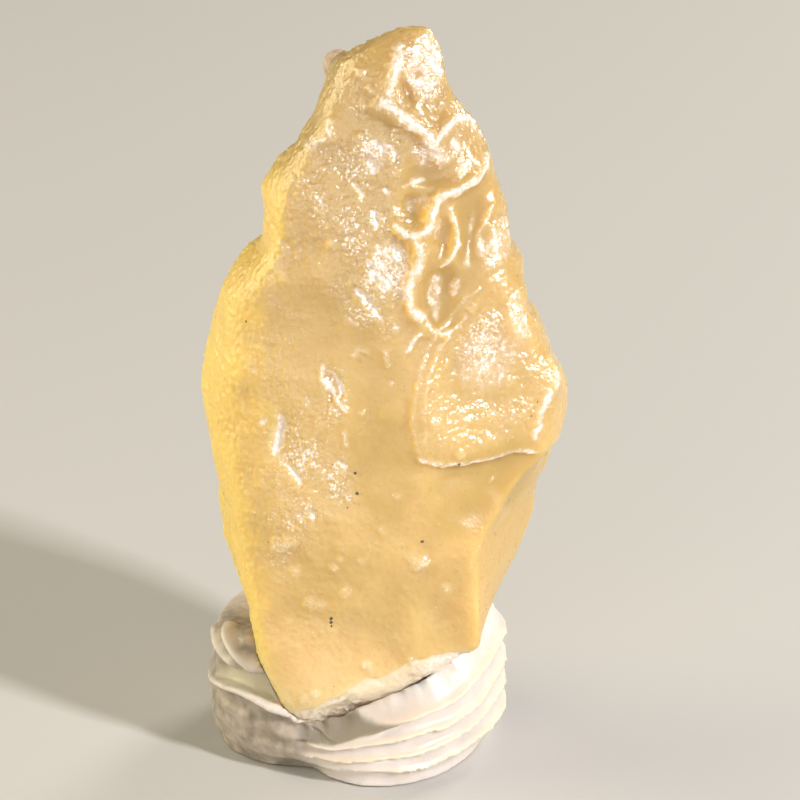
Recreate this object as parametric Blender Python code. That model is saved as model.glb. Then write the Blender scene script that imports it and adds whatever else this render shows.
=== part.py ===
"""A piece of Libyan desert glass held upright in a wad of white display putty.

Two solids: the glass, one wind-worn natural lump, and the putty, pressed up round its foot.
The glass faces -Y, +Z is up, and the origin is the middle of the putty's flat base.
Every size below is in millimetres. place() turns the finished shapes into metres.
"""

import math

import bmesh
import bpy
import numpy as np
from mathutils import Vector, noise

MM = 0.001

# Driving sizes of the glass
GLASS_TOP = 62.4
GLASS_FOOT = 0.6
GLASS_COLUMNS = 384
GLASS_RINGS = 330
GLASS_TRIANGLES = 6800

# Driving sizes of the putty
PUTTY_COLUMNS = 180
PUTTY_RINGS = 120
PUTTY_TRIANGLES = 2700
PUTTY_RIM_ROUND = 1.2
FOLD_DEPTH = 0.75
GAP = 0.4

# Eight upright rails carry the skin of the glass. Each lists (z, x, y) from the foot to the top.
RAILS = {
    "right": [
        (0, 8.6, -3.0), (6, 9.4, -3.0), (12.4, 11.1, -2.4), (14.7, 12.3, -2.0), (16.6, 13.2, -1.6),
        (19.4, 14.2, -1.2), (21.9, 15.0, -1.0), (23.3, 15.3, -1.0), (25.2, 16.4, -1.2), (26.8, 16.4, -1.4),
        (30.9, 16.9, -1.2), (33.3, 16.7, -1.0), (35.8, 15.7, -1.0), (37.6, 15.2, -1.0), (39.4, 13.8, -1.0),
        (41.9, 13.6, -1.0), (43.2, 13.3, -1.0), (44.8, 12.5, -1.0), (48.5, 11.9, -1.0), (51.7, 11.0, -1.0),
        (54.0, 9.6, -1.0), (57.3, 7.7, -0.8), (60.4, 6.8, -0.6), (62.4, 5.9, -0.5),
    ],
    "back_right": [
        (0, 6.2, 2.2), (8, 7.5, 2.8), (16, 9.6, 4.2), (25, 12.0, 5.3), (33, 12.0, 5.6),
        (42, 10.4, 4.4), (50, 8.6, 3.0), (57, 6.4, 1.8), (62.4, 5.6, 0.4),
    ],
    "back": [
        (0, 0.8, 3.6), (8, 1.0, 4.4), (16, 1.4, 6.2), (25, 2.0, 7.6), (34, 1.8, 7.4),
        (43, 1.6, 6.0), (51, 2.4, 4.4), (58, 3.0, 2.8), (62.4, 5.2, 0.6),
    ],
    "back_left": [
        (0, -4.8, 1.4), (8, -5.6, 2.2), (16, -6.8, 4.2), (25, -8.0, 5.8), (34, -8.6, 6.0),
        (42, -7.0, 4.8), (50, -4.0, 3.4), (57, -1.0, 2.6), (60.5, 0.6, 1.6), (62.4, 4.6, 0.5),
    ],
    "left": [
        (0, -5.6, -4.4), (4.4, -6.2, -4.6), (8.6, -7.5, -4.4), (14.4, -8.9, -3.0), (17.1, -10.2, -1.6),
        (23.5, -11.2, -0.8), (27.2, -11.9, -0.6), (30.0, -12.3, -0.4), (33.5, -12.35, -0.4), (37.1, -11.7, -0.4),
        (40.6, -11.0, -0.4), (42.0, -10.3, -0.5), (43.7, -8.0, -0.8), (46.5, -7.2, -1.0), (49.3, -7.6, -1.0),
        (50.6, -7.0, -1.0), (53.0, -5.0, -1.0), (54.4, -3.6, -1.0), (57.5, -2.3, -0.8), (59.8, -1.0, -0.6),
        (61.1, 0.9, -0.5), (61.6, 2.2, -0.5), (62.1, 3.8, -0.4), (62.4, 4.9, -0.4),
    ],
    "front_left": [
        (0, -4.6, -8.3), (5, -5.6, -8.8), (10, -6.8, -8.8), (15, -8.0, -8.6), (20, -8.8, -8.2),
        (27, -9.4, -7.6), (35, -9.2, -7.0), (40, -8.2, -6.4), (44, -6.4, -5.8), (48, -5.6, -5.2),
        (51, -4.6, -4.8), (54, -2.6, -4.4), (58, -1.2, -3.6), (61, 1.2, -2.4), (62.4, 4.6, -1.2),
    ],
    "front": [
        (0, 0.4, -9.4), (6, 0.8, -9.9), (14, 1.2, -10.2), (24, 1.8, -9.9), (33, 2.2, -9.2),
        (40, 2.4, -8.2), (48, 3.0, -6.8), (55, 3.6, -5.3), (60, 4.2, -3.8), (62.4, 5.2, -1.6),
    ],
    "front_right": [
        (0, 7.8, -8.8), (11.5, 9.9, -9.4), (14.0, 11.2, -9.6), (18.2, 11.7, -9.4), (21.3, 12.4, -9.0),
        (23.8, 13.6, -8.4), (26.3, 15.0, -7.4), (29.0, 15.2, -6.6), (34.5, 15.2, -6.0), (38.0, 13.8, -5.6),
        (42.0, 12.2, -5.2), (48.0, 10.6, -4.6), (53.0, 8.8, -4.2), (57.0, 7.0, -3.6), (61.0, 6.4, -2.2),
        (62.4, 5.8, -1.2),
    ],
}
RAIL_ORDER = ("right", "back_right", "back", "back_left", "left", "front_left", "front", "front_right")
# How far the skin leans from straight chords between rails (0) to a round curve through them (1)
ROUNDNESS = 0.72

# Flat breaks: a point on each, its outward direction, and how softly its edge is rounded
BREAKS = [
    ("front chip", (-2.35, -9.9, 7.1), (0.22, -0.79, -0.57), 0.10),
    ("underside", (3.0, -8.15, 7.1), (0.53, -0.12, -0.84), 0.12),
    ("foot back", (0.0, 3.6, 6.0), (0.1, 0.86, -0.5), 0.6),
    ("left foot", (-7.4, -6.0, 7.0), (-0.86, -0.15, -0.49), 0.4),
    ("back upper slope", (3.0, 4.6, 50.0), (0.05, 0.93, 0.36), 0.8),
    ("back left face", (-6.6, 5.6, 26.0), (-0.62, 0.78, -0.10), 0.5),
]

# The bent edge (z, x, y) of the clean break on the lower right. The break runs straight back to the right rail.
FLANK_EDGE = [
    (0.0, 8.0, -9.6), (6.0, 8.9, -9.6), (9.0, 9.6, -9.6), (12.0, 10.1, -9.5), (14.0, 10.3, -9.3),
    (16.5, 10.3, -9.0), (18.2, 10.4, -8.7), (20.0, 10.6, -8.4), (21.3, 11.0, -8.1), (22.6, 11.6, -7.8),
    (23.8, 12.3, -7.4), (25.2, 13.2, -6.8), (26.3, 14.2, -6.2), (27.2, 15.2, -5.4), (28.4, 16.0, -4.2),
]
FLANK_TOP = 27.8
FLANK_SOFTNESS = 0.06

# Hollows worn or flaked into the front, seen from the front:
# middle x, z, half width, half height, turn in degrees, depth
FRONT_HOLLOWS = [
    ("summit hollow", 5.6, 60.0, 1.5, 2.6, -12, 0.50),
    ("summit groove", 4.1, 58.1, 0.6, 1.7, 24, 0.45),
    ("upper right hollow", 6.7, 57.2, 1.9, 1.5, -30, 0.60),
    ("shoulder hollow", 8.6, 53.4, 2.1, 1.9, 0, 0.55),
    ("saddle", 6.0, 51.7, 3.0, 1.6, 15, 0.50),
    ("round pit", 4.5, 49.0, 1.2, 1.5, 0, 0.65),
    ("oval pit", 7.0, 46.5, 1.0, 2.1, -8, 0.75),
    ("lower channel", 6.8, 41.9, 2.0, 3.1, -10, 0.95),
    ("upper channel", 9.4, 46.8, 2.0, 4.6, -6, 0.80),
    ("rough hollow", 2.9, 44.8, 1.9, 2.6, 12, 0.55),
    ("left rough hollow", 0.0, 43.2, 2.2, 3.2, 20, 0.40),
    ("teardrop", 11.5, 45.9, 1.3, 2.2, -25, 0.40),
    ("upper left hollow", -0.8, 51.4, 3.0, 3.2, 10, 0.40),
    ("flake scar", -1.8, 34.4, 1.0, 2.4, 24, 0.50),
    ("left flake scar", -5.8, 30.4, 0.9, 2.4, -8, 0.45),
    ("mid hollow", -1.6, 28.0, 3.6, 4.6, 0, 0.35),
    ("centre channel", 1.6, 33.0, 2.8, 7.5, 6, 0.45),
    ("lower left hollow", -4.0, 18.0, 3.2, 5.0, 10, 0.30),
    ("lower right hollow", 7.2, 15.5, 3.0, 5.0, -12, 0.35),
]
BACK_HOLLOWS = [
    ("back shell break", 4.5, 33.0, 7.0, 8.5, 15, 1.6),
    ("back hollow", -4.5, 42.0, 4.6, 6.2, -20, 1.0),
    ("back summit", 3.0, 55.0, 3.2, 4.6, 10, 0.8),
    ("back lower", -3.6, 24.0, 5.4, 6.4, 12, 1.1),
    ("back right pit", 9.6, 22.0, 3.4, 4.0, -20, 0.9),
    ("back foot", 3.0, 15.0, 4.4, 4.0, 0, 0.7),
    ("back left pit", -8.6, 33.5, 2.4, 4.6, 6, 0.8),
]

# Rounded crests left standing between the hollows: half width, height, then points x, z
FRONT_CRESTS = [
    ("summit crest", 0.50, 0.45, [(3.5, 61.2), (3.2, 60.0), (2.5, 58.6), (2.4, 57.2)]),
    ("long crest", 0.65, 0.65, [(1.6, 57.0), (3.0, 56.5), (4.4, 55.8), (5.6, 54.9), (6.4, 53.9), (6.6, 52.6)]),
    ("shoulder crest", 0.45, 0.55, [(6.5, 54.1), (7.4, 55.2), (8.2, 55.6), (9.1, 55.1), (9.9, 54.1), (10.4, 53.0)]),
    ("shelf crest", 0.45, 0.75, [(10.7, 52.8), (10.3, 51.6), (9.5, 50.8), (8.2, 50.3), (7.0, 49.9), (6.2, 49.2),
                                 (6.0, 48.2), (5.7, 47.3)]),
    ("fork", 0.42, 0.55, [(6.0, 47.6), (5.3, 47.0), (4.6, 46.8), (3.4, 47.6)]),
    ("channel crest", 0.50, 0.70, [(4.8, 46.8), (5.3, 45.6), (5.0, 44.2), (4.3, 43.0), (4.3, 41.6), (5.1, 40.1),
                                   (6.0, 39.1), (7.2, 38.8)]),
    ("crescent", 0.35, 0.45, [(7.6, 48.6), (8.1, 47.4), (8.1, 46.0), (7.6, 44.9), (6.8, 44.3)]),
    ("teardrop rim", 0.34, 0.30, [(10.9, 48.2), (10.1, 47.0), (9.6, 45.9), (9.8, 44.9), (10.4, 44.2), (11.8, 43.9)]),
    ("upper left fold", 0.45, 0.35, [(-1.9, 55.6), (-2.0, 54.6), (-2.8, 53.9), (-3.8, 53.3)]),
    ("left brow", 0.9, 0.35, [(-5.4, 50.2), (-6.0, 48.0), (-6.0, 45.6), (-7.4, 43.2), (-9.0, 41.0)]),
    ("right bead", 0.55, 0.45, [(13.7, 41.4), (14.8, 39.2), (15.5, 37.6)]),
    ("right bead below", 0.50, 0.45, [(15.9, 35.4), (15.9, 33.9)]),
]

# A plate of crust stands out on the right of the front. Its outline starts at the lower left corner;
# the first run, up to PLATE_LEDGE_END, is a sharp ledge over a smooth hollow.
PLATE = [
    (5.7, 28.3), (7.6, 27.9), (9.6, 28.05), (11.2, 28.25), (12.8, 28.6), (14.6, 28.5), (15.8, 27.6), (17.4, 30.0),
    (17.6, 34.0), (16.6, 38.0), (14.8, 41.6), (12.6, 43.2), (10.6, 42.7), (9.1, 41.1), (7.7, 39.3), (6.6, 37.9),
    (5.6, 36.4), (5.0, 34.8), (4.5, 32.8), (4.5, 31.0), (5.1, 29.4), (5.7, 28.3),
]
PLATE_HEIGHT = 0.30
PLATE_EDGE = 0.22
TERRACE_HEIGHT = 0.20
TERRACE_INSET = 0.95
PLATE_DISH = ("dish", 10.6, 34.4, 4.6, 5.4, -10, 0.85)
UNDER_LEDGE = ("under the ledge", 10.6, 26.6, 4.9, 4.6, 12, 1.05)

# A crumb of crust on the back left of the summit: middle, reach, height
CRUMB = ((-1.2, 1.9, 58.4), 1.6, 1.5)

# Slow swells and finer lumps all over: size of one lump, height, seed
SWELLS = [(7.0, 0.50, 3.0), (3.2, 0.26, 11.0), (1.6, 0.12, 23.0)]

# The putty, by direction in degrees anticlockwise from +X: radius of its flat base, radius of its body,
# height of its rim, and the edges of four folds pressed into its wall (height above the base)
BASE_RADIUS = [
    (0, 11.2), (45, 11.5), (90, 11.7), (135, 11.8), (180, 12.0), (207, 11.6), (225, 10.4), (246, 8.8),
    (256, 10.0), (270, 11.2), (285, 11.7), (300, 11.7), (320, 11.3), (340, 11.0),
]
BODY_RADIUS = [
    (0, 12.7), (45, 12.4), (90, 12.2), (135, 12.3), (180, 12.7), (207, 12.3), (228, 11.5), (246, 11.0),
    (262, 11.6), (285, 12.1), (320, 12.5),
]
RIM = [
    (0, 11.2), (45, 10.7), (90, 10.2), (135, 10.4), (180, 10.3), (207, 10.7), (222, 10.0), (233, 8.2), (243, 6.3),
    (251, 5.4), (260, 5.3), (269, 5.9), (285, 7.3), (295, 8.1), (305, 8.6), (315, 9.2), (330, 10.3), (345, 11.1),
]
FOLDS = [
    [(0, 2.6), (60, 1.8), (120, 2.0), (180, 1.6), (215, 1.4), (247, 1.4), (271, 1.5), (305, 1.5), (330, 2.4)],
    [(0, 4.7), (60, 3.8), (120, 4.0), (180, 3.0), (215, 2.7), (240, 2.4), (259, 2.3), (275, 2.6), (296, 2.9),
     (311, 3.3), (326, 3.9), (338, 4.6)],
    [(0, 7.0), (60, 5.9), (120, 5.8), (180, 4.2), (215, 4.2), (240, 3.7), (251, 3.5), (263, 3.9), (283, 4.3),
     (301, 4.7), (313, 4.9), (326, 5.5), (338, 6.6)],
    [(0, 9.2), (60, 8.0), (120, 7.8), (160, 6.2), (183, 5.4), (200, 6.2), (215, 6.7), (228, 6.3), (240, 5.2),
     (251, 4.6), (263, 4.8), (271, 5.3), (283, 6.0), (294, 6.5), (305, 7.0), (316, 7.4), (326, 8.2), (338, 9.0)],
]

GLASS_COLOUR = (0.80, 0.62, 0.28)
PUTTY_COLOUR = (0.86, 0.84, 0.82)


def clear_scene():
    for old in list(bpy.data.objects):
        bpy.data.objects.remove(old, do_unlink=True)


def through(knots, at, values):
    """A smooth curve through values given at rising knots, read at the numbers in at."""
    knots = np.asarray(knots, float)
    values = np.asarray(values, float)
    slopes = np.gradient(values, knots)
    at = np.clip(at, knots[0], knots[-1])
    cell = np.clip(np.searchsorted(knots, at) - 1, 0, len(knots) - 2)
    width = knots[cell + 1] - knots[cell]
    t = (at - knots[cell]) / width
    start, end = values[cell], values[cell + 1]
    lean_in, lean_out = slopes[cell] * width, slopes[cell + 1] * width
    return (
        (2 * t**3 - 3 * t**2 + 1) * start
        + (t**3 - 2 * t**2 + t) * lean_in
        + (3 * t**2 - 2 * t**3) * end
        + (t**3 - t**2) * lean_out
    )


def skin(turns, heights):
    """Points of the glass's skin. turns runs 0 to 1 once round, anticlockwise from +X."""
    rails = []
    for name in RAIL_ORDER:
        z, x, y = np.array(RAILS[name], float).T
        rails.append(np.stack([through(z, heights, x), through(z, heights, y)], axis=1))
    rails = np.stack(rails)
    count = len(rails)
    place = turns * count
    cell = np.floor(place).astype(int)
    t = (place - cell)[:, None]
    rows = np.arange(len(turns))
    before, start, end, after = (rails[(cell + k) % count, rows] for k in (-1, 0, 1, 2))
    chord = start + (end - start) * t
    curve = 0.5 * (
        2 * start
        + (end - before) * t
        + (2 * before - 5 * start + 4 * end - after) * t**2
        + (3 * start - before - 3 * end + after) * t**3
    )
    flat = chord + (curve - chord) * ROUNDNESS
    return np.column_stack([flat, heights])


def smooth_step(t):
    t = np.clip(t, 0, 1)
    return t * t * (3 - 2 * t)


def hollow_depth(x, z, hollows):
    """How deep the hollows are at each place. Where two meet, the deeper one leads and a crest is left."""
    total = np.zeros(len(x))
    for _, mid_x, mid_z, half_x, half_z, turn, depth in hollows:
        angle = math.radians(turn)
        along = (x - mid_x) * math.cos(angle) + (z - mid_z) * math.sin(angle)
        across = (z - mid_z) * math.cos(angle) - (x - mid_x) * math.sin(angle)
        reach = (along / half_x) ** 2 + (across / half_z) ** 2
        total += (depth * np.clip(1 - reach, 0, 1) ** 1.2) ** 4
    return total**0.25


def distance_to(x, z, route):
    """Distance in the front view to a route of straight runs."""
    nearest = np.full(len(x), 1e9)
    for (ax, az), (bx, bz) in zip(route, route[1:]):
        dx, dz = bx - ax, bz - az
        t = np.clip(((x - ax) * dx + (z - az) * dz) / (dx * dx + dz * dz), 0, 1)
        nearest = np.minimum(nearest, np.hypot(x - ax - t * dx, z - az - t * dz))
    return nearest


def inside(x, z, outline):
    """Whether each place is inside a closed outline, by counting the edges to its left."""
    crossed = np.zeros(len(x), bool)
    for (ax, az), (bx, bz) in zip(outline, outline[1:]):
        spans = (az > z) != (bz > z)
        edge_x = ax + (bx - ax) * (z - az) / (bz - az if bz != az else 1e-9)
        crossed ^= spans & (x < edge_x)
    return crossed


def crest_height(x, z):
    height = np.zeros(len(x))
    for _, half_width, rise, route in FRONT_CRESTS:
        away = distance_to(x, z, route) / half_width
        height = np.maximum(height, rise * np.exp(-(away**2)))
    return height


def plate_relief(x, z):
    """The raised plate with its terrace and dish, and the smooth hollow below its ledge, as a depth."""
    within = np.where(inside(x, z, PLATE), 1, -1) * distance_to(x, z, PLATE)
    on_plate = smooth_step((within + PLATE_EDGE / 2) / PLATE_EDGE)
    terrace = smooth_step((within - TERRACE_INSET) / PLATE_EDGE)
    under = hollow_depth(x, z, [UNDER_LEDGE]) * (1 - on_plate)
    dish = hollow_depth(x, z, [PLATE_DISH]) * on_plate
    return under + dish - PLATE_HEIGHT * on_plate - TERRACE_HEIGHT * terrace


def carve(points):
    """Presses hollows into the front and back and leaves the crests and the plate standing."""
    x, y, z = points.T
    middle = -1.0
    facing = smooth_step((middle - y) / 3.0)
    behind = smooth_step((y - middle) / 3.0)
    front = hollow_depth(x, z, FRONT_HOLLOWS) - crest_height(x, z) + plate_relief(x, z)
    back = hollow_depth(x, z, BACK_HOLLOWS)
    carved = points.copy()
    carved[:, 1] += front * facing - back * behind
    return carved


def break_off(points):
    """Brings what lies outside each flat break back onto it, with a rounded edge."""
    for _, place, direction, softness in BREAKS:
        outward = np.array(Vector(direction).normalized())
        outside = (points - np.array(place)) @ outward
        pulled = softness * np.logaddexp(0, outside / softness)
        points = points - pulled[:, None] * outward
    return points


def break_flank(points):
    """The clean break on the lower right, which leaves a bent edge on the front."""
    z = points[:, 2]
    edge_z, *edge = np.array(FLANK_EDGE).T
    rail_z, *rail = np.array(RAILS["right"], float).T
    edge = np.stack([through(edge_z, z, side) for side in edge], axis=1)
    rail = np.stack([through(rail_z, z, side) for side in rail], axis=1)
    run = (rail - edge) / np.linalg.norm(rail - edge, axis=1)[:, None]
    outward = np.stack([run[:, 1], -run[:, 0]], axis=1)
    outside = ((points[:, :2] - edge) * outward).sum(axis=1) - 6 * smooth_step((z - FLANK_TOP) / 1.4)
    pulled = FLANK_SOFTNESS * np.logaddexp(0, outside / FLANK_SOFTNESS)
    broken = points.copy()
    broken[:, :2] -= pulled[:, None] * outward
    return broken


def roughen(points, normals):
    """Slow swells and lumps, with a crumb of crust at the summit."""
    lift = np.zeros(len(points))
    for size, height, seed in SWELLS:
        offset = Vector((seed, -seed, 2 * seed))
        lift += height * np.array([noise.noise(Vector(p) / size + offset) for p in points])
    place, reach, height = CRUMB
    away = np.linalg.norm(points - np.array(place), axis=1) / reach
    lift += height * np.exp(-(away**4))
    return points + normals * lift[:, None]


def mesh_points(mesh):
    flat = np.empty(len(mesh.vertices) * 3)
    mesh.vertices.foreach_get("co", flat)
    return flat.reshape(-1, 3)


def set_points(mesh, points):
    mesh.vertices.foreach_set("co", np.ascontiguousarray(points).ravel())
    mesh.update()


def globe(name, columns, rings):
    """A sphere whose rings and columns are then laid out as another shape."""
    mesh = bpy.data.meshes.new(name)
    bm = bmesh.new()
    bmesh.ops.create_uvsphere(bm, u_segments=columns, v_segments=rings, radius=1)
    bm.to_mesh(mesh)
    bm.free()
    return mesh


def ring_and_column(points):
    """Each sphere point as turns round the axis, 0 to 1, and as a share of the way from the lower pole to the top."""
    turns = np.mod(np.arctan2(points[:, 1], points[:, 0]) / math.tau, 1.0)
    share = 1 - np.arccos(np.clip(points[:, 2], -1, 1)) / math.pi
    return turns, share


def vertex_normals(mesh):
    flat = np.empty(len(mesh.vertices) * 3)
    mesh.vertex_normals.foreach_get("vector", flat)
    return flat.reshape(-1, 3)


def finish_modifier(obj, modifier):
    """Applies one modifier by reading the evaluated mesh."""
    graph = bpy.context.evaluated_depsgraph_get()
    graph.update()
    made = bpy.data.meshes.new_from_object(obj.evaluated_get(graph))
    obj.modifiers.remove(modifier)
    obj.data = made


def thin_out(obj, triangles):
    """Fewer faces where the surface is flat, with the crests kept."""
    obj.data.calc_loop_triangles()
    decimate = obj.modifiers.new("fewer faces", "DECIMATE")
    decimate.ratio = triangles / len(obj.data.loop_triangles)
    decimate.use_collapse_triangulate = True
    finish_modifier(obj, decimate)


def make_glass(collection):
    mesh = globe("desert_glass", GLASS_COLUMNS, GLASS_RINGS)
    turns, share = ring_and_column(mesh_points(mesh))
    # Rings crowd together at both ends, where the skin closes
    eased = share - 0.6 * np.sin(math.tau * share) / math.tau
    heights = GLASS_FOOT + (GLASS_TOP - GLASS_FOOT) * eased
    points = skin(turns, heights)
    for end in (0, 1):
        pole = np.isclose(share, end)
        points[pole, :2] = skin(np.arange(8) / 8, np.full(8, heights[pole][0]))[:, :2].mean(axis=0)
    set_points(mesh, break_off(break_flank(carve(points))))
    set_points(mesh, roughen(mesh_points(mesh), vertex_normals(mesh)))
    glass = bpy.data.objects.new("desert_glass", mesh)
    collection.objects.link(glass)
    thin_out(glass, GLASS_TRIANGLES)
    return glass


def round_the_clock(table, degrees):
    """A smooth closed curve through (direction, value) pairs."""
    at, values = np.array(table, float).T
    at = np.concatenate([at - 360, at, at + 360])
    return through(at, degrees, np.tile(values, 3))


def fold_relief(degrees, height, rim):
    """Depth of the valleys between fold edges: none on an edge, most halfway to the next."""
    edges = [np.zeros(len(degrees))] + [round_the_clock(fold, degrees) for fold in FOLDS] + [rim]
    depth = np.zeros(len(degrees))
    for low, high in zip(edges, edges[1:]):
        t = (height - low) / np.maximum(high - low, 0.1)
        between = (t >= 0) & (t < 1)
        narrow = np.clip((high - low) / 2.0, 0.2, 1.0)
        depth = np.where(between, FOLD_DEPTH * narrow * 4 * t * (1 - t), depth)
    return depth


def make_putty(collection):
    mesh = globe("display_putty", PUTTY_COLUMNS, PUTTY_RINGS)
    turns, share = ring_and_column(mesh_points(mesh))
    degrees = turns * 360
    base, body, rim = (round_the_clock(table, degrees) for table in (BASE_RADIUS, BODY_RADIUS, RIM))
    base_end, wall_end = 0.18, 0.80
    wall = np.clip((share - base_end) / (wall_end - base_end), 0, 1)
    over = np.clip((share - wall_end) / (1 - wall_end), 0, 1)
    height = rim * wall
    radius = base + (body - base) * smooth_step(height / 2.4) - fold_relief(degrees, height, rim)
    radius -= PUTTY_RIM_ROUND * np.clip(1 - (rim - height) / 1.6, 0, 1) ** 2
    radius = np.where(share < base_end, radius * share / base_end, radius * (1 - over))
    height = np.where(over > 0, rim + 0.5 * np.sin(math.pi * np.sqrt(over)), height)
    middle_top = np.mean([value for _, value in RIM])
    height = height + (middle_top - height) * smooth_step(over / 0.9)
    x = radius * np.cos(math.tau * turns)
    y = radius * np.sin(math.tau * turns)
    set_points(mesh, np.column_stack([x, y, height]))
    putty = bpy.data.objects.new("display_putty", mesh)
    collection.objects.link(putty)
    return putty


def press_into(putty, glass, cutters):
    """The hollow that the foot of the glass pressed into the putty, a hair wider than the glass."""
    mesh = glass.data.copy()
    mesh.name = "glass_foot_cutter"
    set_points(mesh, mesh_points(mesh) + GAP * vertex_normals(mesh))
    cutter = bpy.data.objects.new("glass_foot_cutter", mesh)
    cutter.hide_render = True
    cutter.display_type = "WIRE"
    cutters.objects.link(cutter)
    hollow = putty.modifiers.new("foot hollow", "BOOLEAN")
    hollow.operation = "DIFFERENCE"
    hollow.object = cutter
    finish_modifier(putty, hollow)


def paint(obj, name, colour, roughness, transmission):
    material = bpy.data.materials.new(name)
    material.use_nodes = True
    shader = material.node_tree.nodes["Principled BSDF"]
    shader.inputs["Base Color"].default_value = (*colour, 1)
    shader.inputs["Roughness"].default_value = roughness
    shader.inputs["Metallic"].default_value = 0
    shader.inputs["Transmission Weight"].default_value = transmission
    obj.data.materials.clear()
    obj.data.materials.append(material)


def place(obj):
    """From millimetres to metres."""
    set_points(obj.data, mesh_points(obj.data) * MM)
    obj.data.shade_smooth()
    obj.data.set_sharp_from_angle(angle=math.radians(40))


def main():
    clear_scene()
    scene = bpy.context.scene.collection
    parts = bpy.data.collections.new("libyan_desert_glass")
    cutters = bpy.data.collections.new("cutters")
    for made in (parts, cutters):
        scene.children.link(made)
    cutters.hide_render = True

    glass = make_glass(parts)
    putty = make_putty(parts)
    press_into(putty, glass, cutters)
    thin_out(putty, PUTTY_TRIANGLES)
    paint(glass, "desert_glass", GLASS_COLOUR, 0.35, 0.6)
    paint(putty, "putty", PUTTY_COLOUR, 0.45, 0.0)
    for obj in (glass, putty, bpy.data.objects["glass_foot_cutter"]):
        place(obj)


main()
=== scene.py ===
# %% [markdown]
# # A piece of desert glass, stood up in putty
# The real thing is a natural lump of honey-coloured glass, blown smooth and pitted by sand. It is
# pushed into a wad of white display putty so that it stands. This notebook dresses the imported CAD
# model: the two solids give the size and place, and each is copied, refined and given its finish.
# Nothing is fitted by eye, because the CAD and the scene share one frame. That frame is in metres,
# and the tables below are in millimetres, because that is how one thinks about a stone this size.

# %% Load the CAD model
import math

import bpy
import numpy as np
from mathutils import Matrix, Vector, noise
from mathutils.bvhtree import BVHTree


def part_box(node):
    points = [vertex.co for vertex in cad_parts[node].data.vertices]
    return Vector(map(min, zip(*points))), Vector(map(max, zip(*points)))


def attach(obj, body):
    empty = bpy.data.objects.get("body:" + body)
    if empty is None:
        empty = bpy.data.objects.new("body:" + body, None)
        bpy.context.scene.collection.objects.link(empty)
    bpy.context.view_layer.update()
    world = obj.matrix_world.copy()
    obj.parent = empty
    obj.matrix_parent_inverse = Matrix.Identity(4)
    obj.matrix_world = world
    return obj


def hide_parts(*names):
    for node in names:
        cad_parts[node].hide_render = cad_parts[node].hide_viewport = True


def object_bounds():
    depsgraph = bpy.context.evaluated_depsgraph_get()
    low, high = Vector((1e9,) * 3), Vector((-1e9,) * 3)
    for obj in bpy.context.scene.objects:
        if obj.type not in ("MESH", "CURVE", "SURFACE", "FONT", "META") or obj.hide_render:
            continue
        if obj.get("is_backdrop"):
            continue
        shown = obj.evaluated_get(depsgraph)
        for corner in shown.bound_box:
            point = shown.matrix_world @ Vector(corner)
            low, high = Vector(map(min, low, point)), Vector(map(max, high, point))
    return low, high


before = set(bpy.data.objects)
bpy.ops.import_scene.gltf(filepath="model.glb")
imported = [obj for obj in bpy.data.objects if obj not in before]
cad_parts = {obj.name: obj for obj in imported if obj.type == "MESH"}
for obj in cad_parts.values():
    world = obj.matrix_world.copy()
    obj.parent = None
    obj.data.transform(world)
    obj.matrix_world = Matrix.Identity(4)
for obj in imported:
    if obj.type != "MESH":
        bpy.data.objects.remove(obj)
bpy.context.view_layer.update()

MM = 0.001

# %% [markdown]
# ## The camera
# The photograph looks slightly down on the stone from close by. A long lens at 0.35 m gives the
# same mild perspective as the picture, so the stone doesn't seem to lean. The camera comes first,
# because the sculpting further on is compared with the photograph through it.

# %% Camera at the photograph's angle
CAMERA_PLACE = (0.00355932, -0.32335784, 0.16393431)
LOOKS_DOWN = 22.5
# With this lens the stone fills the picture as it does in the photograph
LENS = 191.945

bpy.ops.object.camera_add(location=CAMERA_PLACE, rotation=(math.radians(90 - LOOKS_DOWN), 0, 0))
camera = bpy.context.object
camera.name = "camera"
camera.data.lens = LENS
camera.data.sensor_width = 36
camera.data.dof.use_dof = False
bpy.context.scene.camera = camera
print("camera", round(camera.location.length, 3), "m from the origin")

# %% [markdown]
# ## A finer block of glass to carve
# The CAD solid has a few thousand flat triangles, which is right for a source model and too coarse
# for a polished surface. A copy could be subdivided only, but its long thin triangles would show
# in the reflections. Voxel remeshing gives even squares instead, which carve well. The front is
# then cut once more, because all the fine relief of the photograph is there.


# %% Helpers to select and to apply
def only(piece):
    """Selects one piece and nothing else, as a click on it would."""
    bpy.ops.object.select_all(action="DESELECT")
    piece.select_set(True)
    bpy.context.view_layer.objects.active = piece


def switch_to(mode):
    bpy.ops.object.mode_set(mode=mode)


def apply_modifier(piece, kind, **settings):
    """Adds one modifier with its settings and applies it at once."""
    only(piece)
    modifier = piece.modifiers.new(kind.lower(), kind)
    for setting, value in settings.items():
        setattr(modifier, setting, value)
    bpy.ops.object.modifier_apply(modifier=modifier.name)


def copy_node(node, name):
    """A merged copy of a CAD node, to be refined."""
    piece = bpy.data.objects.new(name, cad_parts[node].data.copy())
    bpy.context.scene.collection.objects.link(piece)
    only(piece)
    switch_to("EDIT")
    bpy.ops.mesh.select_all(action="SELECT")
    bpy.ops.mesh.remove_doubles(threshold=0.005 * MM)
    switch_to("OBJECT")
    return piece


# %% Helpers to read and move points
def read(rows, name):
    """One vector for each point or face of a mesh."""
    flat = np.empty(len(rows) * 3)
    rows.foreach_get(name, flat)
    return flat.reshape(-1, 3)


def points_of(piece):
    """The places of a mesh's points, in mm."""
    return read(piece.data.vertices, "co") / MM


def set_points(piece, points):
    piece.data.vertices.foreach_set("co", (points * MM).ravel())
    piece.data.update()


def normals_of(piece):
    """Which way the surface looks at each point."""
    return read(piece.data.vertex_normals, "vector")


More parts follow.
